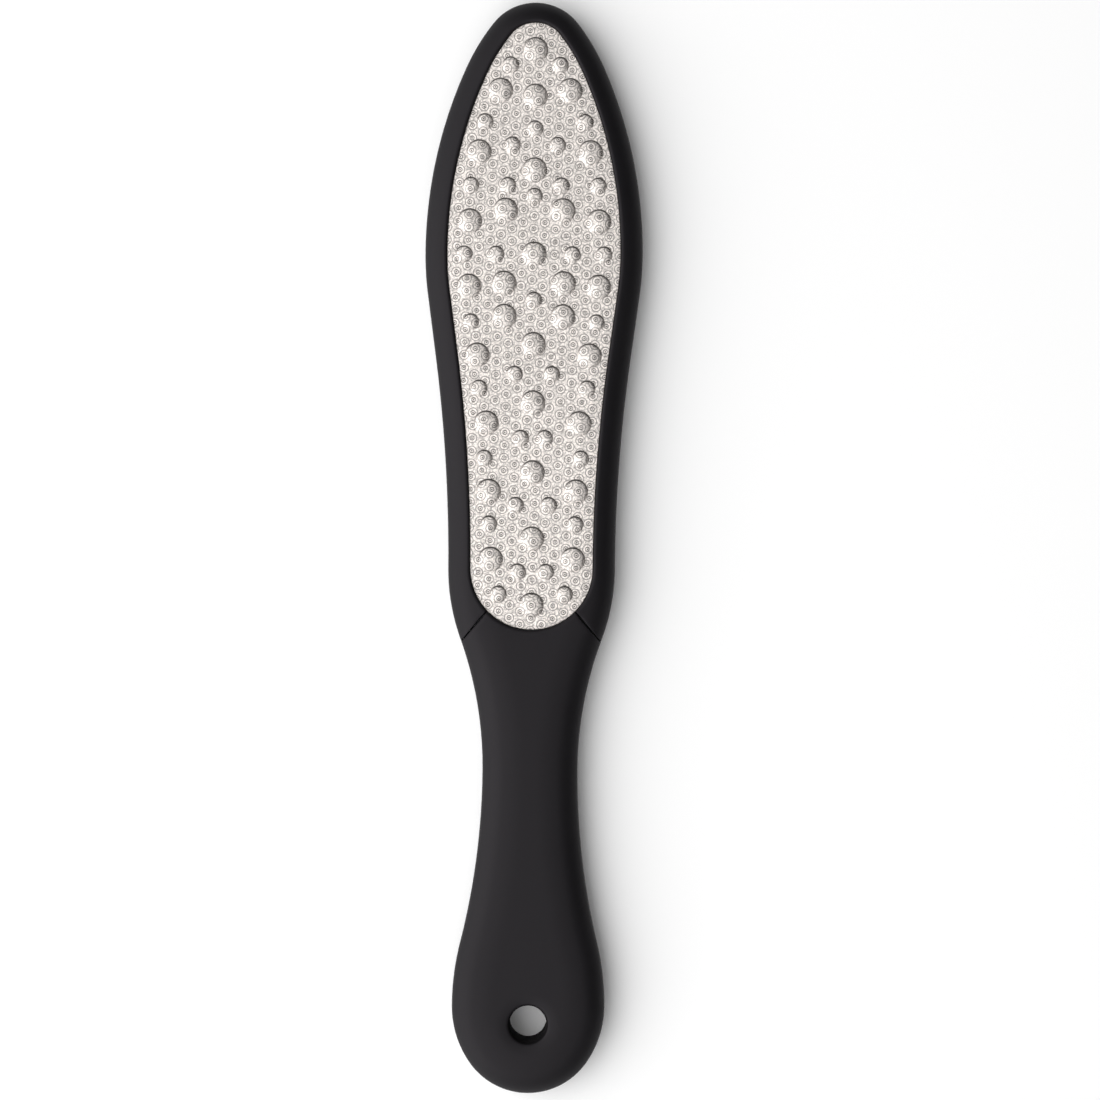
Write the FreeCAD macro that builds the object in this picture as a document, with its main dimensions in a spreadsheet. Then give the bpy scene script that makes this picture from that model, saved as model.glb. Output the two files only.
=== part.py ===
import FreeCAD, Part
import math
import os
from FreeCAD import Placement, Rotation, Vector

# A two-sided foot file: a stiff spine carries a domed steel plate on its front and a fine steel plate
# on its back. A black rim frames the head in two halves, and two black shells make the handle.
# The file lies on its back: tip towards +Y, front plate up. Pieces are drawn about their mid-height
# and then raised, so that the back rests at height zero.

SIZES = [
    # outline, in runs along the axis from the tip and in widths where they meet
    ("tip_radius", 12.8),
    ("tip_to_widest", 60.0),
    ("head_width", 51.84),
    ("widest_to_waist", 74.9),
    ("waist_width", 39.76),
    ("waist_to_neck", 48.0),
    ("neck_width", 22.68),
    ("neck_to_bulb", 56.3),
    ("bulb_width", 36.4),
    ("bulb_to_tail", 20.8),
    # section
    ("body_thickness", 11.2),
    ("edge_radius", 6.9),
    # rim, handle shells and seams
    ("rim_width", 5.2),
    ("lip_width", 1.0),
    ("grip_wall", 4.2),
    ("seam_gap", 0.3),
    # plates and their films
    ("plate_recess", 1.05),
    ("plate_thickness", 0.5),
    ("film_thickness", 0.2),
    ("film_margin", 1.2),
    ("large_dome_diameter", 5.9),
    ("large_dome_height", 1.25),
    ("small_dome_diameter", 4.0),
    ("small_dome_height", 0.9),
    # spine
    ("tang_thickness", 5.8),
    ("bed_wall", 1.8),
    ("bed_web", 1.6),
    ("bed_rib", 1.4),
    # hanging hole
    ("hole_radius", 4.4),
    ("hole_from_tail", 17.0),
    ("hole_lip", 1.2),
    ("hole_wall", 1.8),
    # locating tabs of the rim and posts of the handle
    ("rim_tab_width", 1.4),
    ("rim_tab_length", 5.0),
    ("rim_tab_height", 1.6),
    ("grip_post_width", 3.0),
    ("grip_post_length", 8.0),
    ("grip_socket_depth", 1.2),
    # fits
    ("fit_clearance", 0.1),
    ("cut_overrun", 2.0),
]

# Runs that follow from those sizes.
DERIVED_SIZES = [
    ("waist_from_tip", "=tip_to_widest + widest_to_waist"),
    ("overall_length", "=waist_from_tip + waist_to_neck + neck_to_bulb + bulb_to_tail"),
]

# Turns of the outline's arcs, in degrees from square to the long axis. The brow, between tip and
# flank, ends at a share of the turn of the chord that both span.
TIP_TURN_DEGREES = 38.0
TAIL_TURN_DEGREES = 35.0
BROW_TURN_SHARE = 1.5

# The section's round edge leaves the upright belt at one turn and meets the crown at its slope. The
# crown ends at a share of the half-width of the neck.
BELT_TURN_DEGREES = 30.0
EDGE_FLATS = 4
CROWN_SLOPE_DEGREES = 8.5
CROWN_REACH_SHARE = 0.87

# How each double bend of the outline is divided: its straight stretch as a share of its length,
# and its first arc as a share of its two radii.
FLANK_STRAIGHT_SHARE, FLANK_FIRST_SHARE = 0.20, 0.16
SHOULDER_STRAIGHT_SHARE, SHOULDER_FIRST_SHARE = 0.0, 0.35
HANDLE_STRAIGHT_SHARE, HANDLE_FIRST_SHARE = 0.0, 0.735

# Dome places on the front plate: share of the window's length from the tip, and share of the
# window's half-width there. A dome off the axis has a twin on the other side.
LARGE_DOME_SHARES = [
    (0.041, 0), (0.108, 0.640), (0.118, 0), (0.210, 0.745), (0.239, 0), (0.307, 0.338), (0.325, 0.753),
    (0.379, 0), (0.427, 0.348), (0.433, 0.765), (0.482, 0.361), (0.528, 0), (0.546, 0.738), (0.624, 0),
    (0.658, 0.685), (0.740, 0), (0.771, 0.686), (0.849, 0), (0.883, 0.660), (0.958, 0),
]
SMALL_DOME_SHARES = [
    (0.066, 0.596), (0.161, 0.755), (0.172, 0), (0.199, 0.311), (0.266, 0.784), (0.266, 0.329), (0.283, 0),
    (0.379, 0.440), (0.379, 0.807), (0.455, 0), (0.491, 0.779), (0.577, 0.254), (0.601, 0.754),
    (0.683, 0.180), (0.716, 0.740), (0.794, 0.263), (0.825, 0.690), (0.904, 0.226), (0.941, 0.587),
]

# Each dome is drawn in flats round rings at these shares of the turn from its top to its foot.
DOME_SIDES = 8
LARGE_DOME_RING_SHARES = [1, 0.62, 0.28]
SMALL_DOME_RING_SHARES = [1, 0.52]

BED_POCKET_ROWS = 6
GRIP_POST_SHARES = [0.30, 0.52, 0.72]
JOIN_TOLERANCE = 1e-6

doc = FreeCAD.newDocument("foot_file")
sheet = doc.addObject("Spreadsheet::Sheet", "sizes")
for row, (alias, value) in enumerate(SIZES + DERIVED_SIZES, start=1):
    sheet.set(f"A{row}", alias)
    sheet.set(f"B{row}", str(value))
    sheet.setAlias(f"B{row}", alias)
doc.recompute()


def size(alias):
    return float(sheet.get(alias))


def bind(thing, **expressions):
    for prop, expression in expressions.items():
        thing.setExpression(prop.replace("__", "."), expression)


# Stations of the outline, measured from the middle of the length.
HALF_LENGTH = size("overall_length") / 2
HEAD_HALF, HEAD_Y = size("head_width") / 2, HALF_LENGTH - size("tip_to_widest")
WAIST_HALF, WAIST_Y = size("waist_width") / 2, HALF_LENGTH - size("waist_from_tip")
NECK_HALF, NECK_Y = size("neck_width") / 2, WAIST_Y - size("waist_to_neck")
BULB_HALF, BULB_Y = size("bulb_width") / 2, NECK_Y - size("neck_to_bulb")
HALF_THICKNESS = size("body_thickness") / 2
HOLE_Y = size("hole_from_tail") - HALF_LENGTH


def two_radii(a, b, c, d, across, along):
    """The two radii that fill a run across and along, from the shares of each that they add."""
    det = a * d - b * c
    return (across * d - b * along) / det, (a * along - across * c) / det


def double_bend(half_a, y_a, half_b, y_b, straight_share, first_share):
    """Radii and turn of two opposite arcs between two stations that both run along the axis."""
    across, along = abs(half_a - half_b), y_a - y_b
    straight = straight_share * along
    both = (across**2 + along**2 - straight**2) / (2 * across)
    reach = math.hypot(both - across, along)
    turn = math.atan2(along, both - across) - math.acos(min(1, both / reach))
    return both * first_share, both * (1 - first_share), turn


def right_arcs():
    """Arcs of the right side from tip to tail: centre, radius, first and last turn, and +1 if convex."""
    tip_turn, tail_turn = math.radians(TIP_TURN_DEGREES), math.radians(TAIL_TURN_DEGREES)
    tip = size("tip_radius")
    ca, sa = math.cos(tip_turn), math.sin(tip_turn)
    across, along = HEAD_HALF - tip * ca, size("tip_to_widest") - tip * (1 - sa)
    brow_turn = BROW_TURN_SHARE * math.atan2(across, along)
    cb, sb = math.cos(brow_turn), math.sin(brow_turn)
    flank, brow = two_radii(1 - cb, cb - ca, sb, sa - sb, across, along)
    cg, sg = math.cos(tail_turn), math.sin(tail_turn)
    bulb, tail = two_radii(1 - cg, cg, sg, 1 - sg, BULB_HALF, size("bulb_to_tail"))
    flank_x = HEAD_HALF - flank
    arcs = [
        (Vector(0, HALF_LENGTH - tip), tip, math.pi / 2, tip_turn, 1),
        (Vector(flank_x + (flank - brow) * cb, HEAD_Y + (flank - brow) * sb), brow, tip_turn, brow_turn, 1),
        (Vector(flank_x, HEAD_Y), flank, brow_turn, 0, 1),
    ]
    first, second, turn = double_bend(
        HEAD_HALF, HEAD_Y, WAIST_HALF, WAIST_Y, FLANK_STRAIGHT_SHARE, FLANK_FIRST_SHARE)
    arcs += [
        (Vector(HEAD_HALF - first, HEAD_Y), first, 0, -turn, 1),
        (Vector(WAIST_HALF + second, WAIST_Y), second, -turn, 0, -1),
    ]
    first, second, turn = double_bend(
        WAIST_HALF, WAIST_Y, NECK_HALF, NECK_Y, SHOULDER_STRAIGHT_SHARE, SHOULDER_FIRST_SHARE)
    arcs += [
        (Vector(WAIST_HALF - first, WAIST_Y), first, 0, -turn, 1),
        (Vector(NECK_HALF + second, NECK_Y), second, -turn, 0, -1),
    ]
    first, second, turn = double_bend(
        NECK_HALF, NECK_Y, BULB_HALF, BULB_Y, HANDLE_STRAIGHT_SHARE, HANDLE_FIRST_SHARE)
    arcs += [
        (Vector(NECK_HALF + first, NECK_Y), first, 0, turn, -1),
        (Vector(BULB_HALF - second, BULB_Y), second, turn, 0, 1),
        (Vector(BULB_HALF - bulb, BULB_Y), bulb, 0, -tail_turn, 1),
        (Vector(0, tail - HALF_LENGTH), tail, -tail_turn, -math.pi / 2, 1),
    ]
    return arcs


ARCS = right_arcs()
HEAD_ARC_COUNT = 5


def arc_points(arc, inset):
    """First, middle and last point of an arc of the outline, moved inwards by the inset."""
    centre, radius, first, last, bulge = arc
    reach = radius - bulge * inset
    return [
        centre + Vector(math.cos(turn), math.sin(turn)) * (bulge * reach)
        for turn in (first, (first + last) / 2, last)
    ]


def mirrored(point):
    return Vector(-point.x, point.y, point.z)


def right_side(arcs, inset):
    """Curves of the right side, as point triples, with straight stretches where arcs don't meet."""
    curves = []
    for arc in arcs:
        points = arc_points(arc, inset)
        if curves and not curves[-1][-1].isEqual(points[0], JOIN_TOLERANCE):
            curves.append([curves[-1][-1], points[0]])
        curves.append(points)
    return curves


def as_geometry(points):
    if len(points) == 2:
        return Part.LineSegment(*points)
    return Part.Arc(*points)


def both_sides(right):
    """Curves of a right side that starts and ends on the axis, and of its mirror image."""
    return right + [[mirrored(point) for point in reversed(curve)] for curve in reversed(right)]


def paddle_outline(inset):
    """The whole file, tip to tail."""
    curves = right_side(ARCS, inset)
    tip, side, tail = curves[0], curves[1:-1], curves[-1]
    left = both_sides(side)[len(side):]
    across_tip = [mirrored(tip[-1]), tip[0], tip[-1]]
    across_tail = [tail[0], tail[-1], mirrored(tail[0])]
    return [as_geometry(curve) for curve in [across_tip] + side + [across_tail] + left]


def head_curves(inset):
    """The head alone, closed below by a half circle centred on the waist."""
    side = right_side(ARCS[:HEAD_ARC_COUNT], inset)
    waist = side[-1][-1]
    halfway = Vector(waist.x / math.sqrt(2), WAIST_Y - waist.x / math.sqrt(2))
    return both_sides(side + [[waist, halfway, Vector(0, WAIST_Y - waist.x)]])


def head_outline(inset):
    return [as_geometry(curve) for curve in head_curves(inset)]


def film_outline(inset):
    """The head in straight cuts through the ends and middles of its curves."""
    return polygon([point for curve in head_curves(inset) for point in curve[:-1]])


def tang_outline(clearance):
    """The straight-sided bar that runs through the handle, from the waist to short of the hole."""
    inset = size("grip_wall") + clearance
    foot = HOLE_Y + size("hole_radius") + size("hole_wall") + clearance
    half_widths = [(WAIST_HALF - inset, WAIST_Y), (NECK_HALF - inset, NECK_Y), (BULB_HALF - inset, foot)]
    right = [Vector(half, y) for half, y in half_widths]
    return polygon(right + [mirrored(corner) for corner in reversed(right)])


def head_half_width(y, inset):
    """Half-width of the head outline at a height along the file."""
    waist = WAIST_HALF - inset
    if y < WAIST_Y:
        return math.sqrt(waist**2 - (WAIST_Y - y)**2)
    curves = map(as_geometry, right_side(ARCS[:HEAD_ARC_COUNT], inset))
    side = Part.Wire([curve.toShape() for curve in curves])
    far = Vector(size("overall_length"), y)
    hits = side.distToShape(Part.LineSegment(Vector(0, y), far).toShape())[1]
    return hits[0][0].x


def plane_of(body, role):
    return next(plane for plane in body.Origin.OriginFeatures if plane.Role == role)


def new_body(label):
    body = doc.addObject("PartDesign::Body", label)
    body.Label = label
    return body


def new_sketch(body, name, curves, role="XY_Plane"):
    sketch = body.newObject("Sketcher::SketchObject", name)
    sketch.AttachmentSupport = [(plane_of(body, role), "")]
    sketch.MapMode = "FlatFace"
    sketch.addGeometry(curves)
    return sketch


def circle(x, y, radius):
    return Part.Circle(Vector(x, y), Vector(0, 0, 1), radius)


def polygon(points):
    return [Part.LineSegment(a, b) for a, b in zip(points, points[1:] + points[:1])]


def block(name, x, y, width, length, foot, height):
    """An upright block centred on a place, with its foot and height as expressions on the sheet."""
    box = doc.addObject("Part::Box", name)
    box.Length, box.Width = width, length
    box.Placement = Placement(Vector(x - width / 2, y - length / 2), Rotation())
    bind(box, Height=height, Placement__Base__z=foot)
    return box


def boolean(kind, name, base, tool):
    result = doc.addObject(f"Part::{kind}", name)
    result.Base, result.Tool = base, tool
    return result


def gather(name, shapes):
    group = doc.addObject("Part::Compound", name)
    group.Links = shapes
    return group


# The form that rim and handle are cut from: an edge section swept round the outline, with the flat
# middle of the crown inside it and the hanging hole through the bulb. The section has an upright belt
# at mid-height, where front and back meet, then a round edge in narrow flats and the crown's slope.
blank = new_body("front_form")
path = new_sketch(blank, "form_outline", paddle_outline(0))
edge, crown_reach = size("edge_radius"), NECK_HALF * CROWN_REACH_SHARE
belt_turn, crown_turn = math.radians(BELT_TURN_DEGREES), math.radians(90 - CROWN_SLOPE_DEGREES)
edge_reach = edge * (math.cos(belt_turn) - math.cos(crown_turn))
crown_rise = (crown_reach - edge_reach) * math.tan(math.radians(CROWN_SLOPE_DEGREES / 2))


def edge_point(turn):
    """A point of the edge's round, at a turn from upright."""
    inset = edge * (math.cos(belt_turn) - math.cos(turn))
    drop = crown_rise + edge * (math.sin(crown_turn) - math.sin(turn))
    return Vector(HEAD_HALF - inset, HALF_THICKNESS - drop)


flat_turn = (crown_turn - belt_turn) / EDGE_FLATS
round_edge = [edge_point(belt_turn + flat * flat_turn) for flat in range(EDGE_FLATS + 1)]
belt_foot, crown_foot = Vector(HEAD_HALF, 0), Vector(HEAD_HALF - crown_reach, 0)
crown_edge = Vector(HEAD_HALF - crown_reach, HALF_THICKNESS)
section = new_sketch(blank, "edge_section",
                     polygon([belt_foot] + round_edge + [crown_edge, crown_foot]), role="XZ_Plane")
section.AttachmentOffset = Placement(Vector(0, 0, -HEAD_Y), Rotation())

bead = blank.newObject("PartDesign::AdditivePipe", "edge_bead")
bead.Profile = section
bead.Spine = (path, [])

flat = new_sketch(blank, "flat_outline", paddle_outline(crown_reach))
crown = blank.newObject("PartDesign::Pad", "crown_middle")
crown.Profile = flat
bind(crown, Length="sizes.body_thickness / 2")

hole = new_sketch(blank, "hole_outline", [circle(0, HOLE_Y, size("hole_radius"))])
bore = blank.newObject("PartDesign::Pocket", "hanging_hole")
bore.Profile = hole
bore.Reversed = True
bind(bore, Length="sizes.body_thickness / 2 + sizes.cut_overrun")
doc.recompute()

hole_edges = [
    f"Edge{index}" for index, edge in enumerate(bore.Shape.Edges, start=1)
    if isinstance(edge.Curve, Part.Circle)
    and edge.Curve.Center.isEqual(Vector(0, HOLE_Y, HALF_THICKNESS), JOIN_TOLERANCE)
]
hole_lip = blank.newObject("PartDesign::Chamfer", "hole_lip")
hole_lip.Base = (bore, hole_edges)
bind(hole_lip, Size="sizes.hole_lip")

# What is taken out of the form: the plate window, the bed of the plate and spine head below its lip,
# and the room for the tang, which stops at the wall of the hanging hole.
SEAT = "(sizes.body_thickness / 2 - sizes.plate_recess)"
TANG_ROOM = "(sizes.tang_thickness / 2 + sizes.fit_clearance)"


def prism(name, curves, foot, height):
    """An upright solid on an outline, with its foot and height as expressions on the sheet."""
    outline = doc.addObject("Sketcher::SketchObject", f"{name}_outline")
    outline.addGeometry(curves)
    bind(outline, Placement__Base__z=foot)
    solid = doc.addObject("Part::Extrusion", name)
    solid.Base = outline
    solid.DirMode = "Normal"
    solid.Solid = True
    bind(solid, LengthFwd=height)
    return solid


rim_wall = size("rim_width") - size("lip_width")
window = prism("plate_window", head_outline(size("rim_width")), "0", "sizes.body_thickness")
bed_room = prism("bed_room", head_outline(rim_wall), "-sizes.cut_overrun",
                 f"{SEAT} + sizes.fit_clearance + sizes.cut_overrun")
tang_room = prism("tang_room", tang_outline(0), "-sizes.cut_overrun", f"{TANG_ROOM} + sizes.cut_overrun")
hollow = doc.addObject("Part::MultiFuse", "form_hollow")
hollow.Shapes = [window, bed_room, tang_room]
front_skin = boolean("Cut", "front_skin", blank, hollow)

back_skin = doc.addObject("Part::Mirroring", "back_skin")
back_skin.Source = front_skin
back_skin.Normal = Vector(0, 0, 1)

# Rim and handle part along two seams that leave the middle of the window's lower arc at 45 degrees:
# the square corner of a box cuts both seams, with half of the gap on each side.
def seam_corner(name, side):
    corner = doc.addObject("Part::Box", name)
    corner.Placement = Placement(Vector(0, WAIST_Y), Rotation(Vector(0, 0, 1), -135))
    waist = "sizes.overall_length / 2 - sizes.waist_from_tip"
    bind(corner, Length="sizes.overall_length", Width="sizes.overall_length",
         Height="sizes.body_thickness * 2", Placement__Base__z="-sizes.body_thickness",
         Placement__Base__y=f"{waist} {side} sizes.seam_gap / sqrt(2)")
    return corner


handle_side = seam_corner("handle_side", "-")
rim_side = seam_corner("rim_side", "+")

# Tabs of the back rim and posts of the back handle stand in sockets of the front halves.
RIM_TAB_PLACES = [
    (side * (half - rim_wall / 2), y)
    for half, y in [(HEAD_HALF, HEAD_Y), (WAIST_HALF, WAIST_Y)] for side in (1, -1)
]
GRIP_POST_PLACES = [(0, WAIST_Y - share * (WAIST_Y + HALF_LENGTH)) for share in GRIP_POST_SHARES]


def blocks(name, places, width, length, foot, height):
    return gather(name, [
        block(f"{name}_{index}", x, y, width, length, foot, height)
        for index, (x, y) in enumerate(places, start=1)
    ])


around = 2 * size("fit_clearance")
tab_width, tab_length = size("rim_tab_width"), size("rim_tab_length")
rim_tabs = blocks("rim_tabs", RIM_TAB_PLACES, tab_width, tab_length,
                  "-sizes.rim_tab_height", "2 * sizes.rim_tab_height")
rim_sockets = blocks("rim_sockets", RIM_TAB_PLACES, tab_width + around, tab_length + around,
                     "-sizes.cut_overrun", "sizes.cut_overrun + sizes.rim_tab_height + sizes.fit_clearance")
post_width, post_length = size("grip_post_width"), size("grip_post_length")
grip_posts = blocks("grip_posts", GRIP_POST_PLACES, post_width, post_length,
                    "-(sizes.tang_thickness / 2 + sizes.grip_socket_depth)",
                    "sizes.tang_thickness + 2 * sizes.grip_socket_depth")
grip_sockets = blocks("grip_sockets", GRIP_POST_PLACES, post_width + around, post_length + around,
                      "0", "sizes.tang_thickness / 2 + sizes.grip_socket_depth + sizes.fit_clearance")

rim_front_frame = boolean("Cut", "rim_front_frame", front_skin, rim_side)
rim_back_frame = boolean("Cut", "rim_back_frame", back_skin, rim_side)
grip_front_shell = boolean("Common", "grip_front_shell", front_skin, handle_side)
grip_back_shell = boolean("Common", "grip_back_shell", back_skin, handle_side)
rim_front = boolean("Cut", "rim_front", rim_front_frame, rim_sockets)
rim_back = boolean("Fuse", "rim_back", rim_back_frame, rim_tabs)
grip_front = boolean("Cut", "grip_front", grip_front_shell, grip_sockets)
grip_back = boolean("Fuse", "grip_back", grip_back_shell, grip_posts)

# The spine: a bed with ribs under both plates, and a tang down the handle with slots for the posts.
core_inset = rim_wall + size("fit_clearance")
BED = "(sizes.body_thickness - 2 * (sizes.plate_recess + sizes.plate_thickness + sizes.film_thickness))"
spine = new_body("spine")


def slab(body, name, curves, thickness):
    pad = body.newObject("PartDesign::Pad", name)
    pad.Profile = new_sketch(body, f"{name}_outline", curves)
    pad.Midplane = True
    bind(pad, Length=thickness)
    return pad


tang = slab(spine, "tang", tang_outline(size("fit_clearance")), "sizes.tang_thickness")
bed = slab(spine, "plate_bed", head_outline(core_inset), BED)
slot_half, slot_reach = (post_width + around) / 2, (post_length + around) / 2
post_slots = []
for x, y in GRIP_POST_PLACES:
    post_slots += polygon([
        Vector(x + right * slot_half, y + up * slot_reach)
        for right, up in [(1, 1), (1, -1), (-1, -1), (-1, 1)]
    ])
tang_slots = spine.newObject("PartDesign::Pocket", "tang_slots")
tang_slots.Profile = new_sketch(spine, "tang_slot_outlines", post_slots)
tang_slots.Type = "ThroughAll"
tang_slots.Midplane = True

pocket_inset = core_inset + size("bed_wall")
pocket_top = HALF_LENGTH - pocket_inset - size("bed_wall")
pocket_bottom = WAIST_Y - (WAIST_HALF - pocket_inset) + size("bed_wall")
row_pitch = (pocket_top - pocket_bottom) / BED_POCKET_ROWS
half_rib = size("bed_rib") / 2
pockets = []
for row in range(BED_POCKET_ROWS):
    high = pocket_top - row * row_pitch - half_rib
    low = pocket_top - (row + 1) * row_pitch + half_rib
    wide_high, wide_low = head_half_width(high, pocket_inset), head_half_width(low, pocket_inset)
    corners = [
        Vector(half_rib, high), Vector(wide_high, high), Vector(wide_low, low), Vector(half_rib, low),
    ]
    pockets += polygon(corners) + polygon([mirrored(corner) for corner in corners])
pocket_sketch = new_sketch(spine, "bed_pocket_outlines", pockets)
bind(pocket_sketch, AttachmentOffset__Base__z=f"{BED} / 2")
bed_pockets = spine.newObject("PartDesign::Pocket", "bed_pockets")
bed_pockets.Profile = pocket_sketch
bind(bed_pockets, Length=f"({BED} - sizes.bed_web) / 2")
back_pockets = spine.newObject("PartDesign::Mirrored", "back_bed_pockets")
back_pockets.Originals = [bed_pockets]
back_pockets.MirrorPlane = (plane_of(spine, "XY_Plane"), [""])
spine.Tip = back_pockets


# Plates and films lie on the bed, on both sides alike.
def sheet_body(label, outline, foot, thickness):
    body = new_body(label)
    pad = body.newObject("PartDesign::Pad", f"{label}_sheet")
    pad.Profile = new_sketch(body, f"{label}_outline", outline)
    bind(pad.Profile[0], AttachmentOffset__Base__z=foot)
    bind(pad, Length=thickness)
    return body


film, plate = film_outline(core_inset + size("film_margin")), head_outline(core_inset)
front_bond_sheet = sheet_body("front_bond_sheet", film, f"{BED} / 2", "sizes.film_thickness")
back_bond_sheet = sheet_body("back_bond_sheet", film, f"-{BED} / 2 - sizes.film_thickness",
                             "sizes.film_thickness")
back_file_plate = sheet_body("back_file_plate", plate, f"-{SEAT}", "sizes.plate_thickness")
plain_plate = sheet_body("plain_plate", plate, f"{SEAT} - sizes.plate_thickness", "sizes.plate_thickness")


# Domes are pressed up from the front sheet: each is a cap of a ball, drawn in flats.
def dome(x, y, diameter, height, ring_shares):
    base = diameter / 2
    ball = (base**2 + height**2) / (2 * height)
    seat = Vector(x, y, HALF_THICKNESS - size("plate_recess"))
    turns = [2 * math.pi * side / DOME_SIDES for side in range(DOME_SIDES)]
    rings = []
    for share in ring_shares:
        tilt = share * math.asin(base / ball)
        out, up = ball * math.sin(tilt), ball * math.cos(tilt) - ball + height
        rings.append([seat + Vector(out * math.cos(turn), out * math.sin(turn), up) for turn in turns])
    outlines = [rings[0], rings[-1]]
    for low, high in zip(rings, rings[1:]):
        outlines += [
            [low[side - 1], low[side], high[side], high[side - 1]] for side in range(DOME_SIDES)
        ]
    faces = [Part.Face(Part.makePolygon(outline + outline[:1])) for outline in outlines]
    return Part.makeSolid(Part.makeShell(faces))


def dome_pattern(place_shares, ring_shares, diameter, height):
    window_top, window_bottom = HALF_LENGTH - size("rim_width"), WAIST_Y - WAIST_HALF + size("rim_width")
    shapes = []
    for along_share, across_share in place_shares:
        y = window_top - along_share * (window_top - window_bottom)
        x = across_share * head_half_width(y, size("rim_width"))
        sides = (1, -1) if x else (1,)
        shapes += [dome(side * x, y, diameter, height, ring_shares) for side in sides]
    return shapes


large_domes = dome_pattern(LARGE_DOME_SHARES, LARGE_DOME_RING_SHARES,
                           size("large_dome_diameter"), size("large_dome_height"))
small_domes = dome_pattern(SMALL_DOME_SHARES, SMALL_DOME_RING_SHARES,
                           size("small_dome_diameter"), size("small_dome_height"))
domes = doc.addObject("Part::Feature", "domes")
domes.Shape = Part.makeCompound(large_domes + small_domes)
front_file_plate = boolean("Fuse", "front_file_plate", plain_plate, domes)

# Every piece is raised until the back of the file lies at height zero.
PIECES = [
    spine, front_bond_sheet, back_bond_sheet, front_file_plate, back_file_plate,
    rim_front, rim_back, grip_front, grip_back,
]
for piece in PIECES:
    bind(piece, Placement__Base__z="sizes.body_thickness / 2")
doc.recompute()

for item in doc.Objects:
    if "Invalid" in item.State or "Error" in item.State:
        raise RuntimeError(f"{item.Label} failed: {item.State}")
for piece in PIECES:
    if piece.Shape.isNull() or not piece.Shape.isValid() or len(piece.Shape.Solids) != 1:
        raise RuntimeError(f"{piece.Label} is not one sound solid")

os.makedirs("parts", exist_ok=True)
for piece in PIECES:
    piece.Shape.exportStep(f"parts/{piece.Label}.step")
    print(piece.Label, round(piece.Shape.Volume), "cubic mm")
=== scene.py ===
import math

import bmesh
import bpy
import numpy as np
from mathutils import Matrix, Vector
from mathutils.geometry import delaunay_2d_cdt


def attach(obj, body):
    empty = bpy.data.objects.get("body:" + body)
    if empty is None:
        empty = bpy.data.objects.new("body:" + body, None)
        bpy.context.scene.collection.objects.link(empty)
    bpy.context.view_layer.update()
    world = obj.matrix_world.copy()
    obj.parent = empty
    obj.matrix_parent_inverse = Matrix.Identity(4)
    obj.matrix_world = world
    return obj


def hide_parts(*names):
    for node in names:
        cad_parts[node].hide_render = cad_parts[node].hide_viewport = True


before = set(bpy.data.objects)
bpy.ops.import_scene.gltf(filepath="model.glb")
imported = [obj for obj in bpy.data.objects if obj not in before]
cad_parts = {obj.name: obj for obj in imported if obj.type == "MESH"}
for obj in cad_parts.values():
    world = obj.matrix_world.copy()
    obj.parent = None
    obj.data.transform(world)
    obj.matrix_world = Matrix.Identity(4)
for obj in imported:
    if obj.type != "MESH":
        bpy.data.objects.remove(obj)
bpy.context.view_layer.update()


# The spine is the stiff core of the file: a ribbed bed under both plates and a tang in the handle.
# It is moulded in one piece from glass-filled plastic, dark grey and dull, and the rest closes round it.
class Finish:
    """A socket in a material's nodes: sums on it add Math nodes, and node() adds any other node."""

    def __init__(self, tree, socket):
        self.tree, self.socket = tree, socket

    def node(self, kind, settings, sockets, output=0):
        node = self.tree.nodes.new(kind)
        for name, value in settings.items():
            setattr(node, name, value)
        for name, value in sockets.items():
            if isinstance(value, Finish):
                self.tree.links.new(value.socket, node.inputs[name])
            else:
                node.inputs[name].default_value = value
        return Finish(self.tree, node.outputs[output] if node.outputs else None)

    def maths(self, operation, first, second):
        return self.node("ShaderNodeMath", {"operation": operation}, {0: first, 1: second})

    def __add__(self, other):
        return self.maths("ADD", self, other)

    def __sub__(self, other):
        return self.maths("SUBTRACT", self, other)

    def __rsub__(self, other):
        return self.maths("SUBTRACT", other, self)

    def __mul__(self, other):
        return self.maths("MULTIPLY", self, other)

    __radd__ = __add__
    __rmul__ = __mul__

    def noise(self, scale, detail):
        """Even noise at a scale per metre, taken at this place."""
        return self.node("ShaderNodeTexNoise", {}, {"Vector": self, "Scale": scale, "Detail": detail})

    def blend(self, low, high):
        """A colour between two, with this value as the share of the second."""
        return self.node("ShaderNodeMix", {"data_type": "RGBA"}, {0: self, 6: low, 7: high}, 2)

    def band(self, middle, half, blur):
        """1 where this value is within half of the middle, and 0 beyond, with a soft border."""
        off = self.maths("ABSOLUTE", self - middle, 0.0)
        return self.node("ShaderNodeMapRange", {"interpolation_type": "SMOOTHSTEP"}, {
            "Value": off, "From Min": half - blur, "From Max": half + blur, "To Min": 1.0, "To Max": 0.0})

    def grain(self, strength, depth):
        """The normal of a surface whose height is this value, for a grain of that depth in metres."""
        return self.node("ShaderNodeBump", {}, {"Strength": strength, "Distance": depth, "Height": self})


def new_finish(name):
    """A new material, and the place on the piece, in metres, that its nodes start from."""
    material = bpy.data.materials.new(name)
    material.use_nodes = True
    material.node_tree.nodes.clear()
    coordinates = material.node_tree.nodes.new("ShaderNodeTexCoord")
    return material, Finish(material.node_tree, coordinates.outputs["Object"])


def close_finish(place, sockets):
    """Ends a material with a surface that has these sockets."""
    surface = place.node("ShaderNodeBsdfPrincipled", {}, sockets)
    place.node("ShaderNodeOutputMaterial", {}, {"Surface": surface})


def dress(node_name, material):
    """Gives a material to a piece that stays as the CAD made it."""
    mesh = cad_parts[node_name].data
    mesh.materials.clear()
    mesh.materials.append(material)


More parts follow.
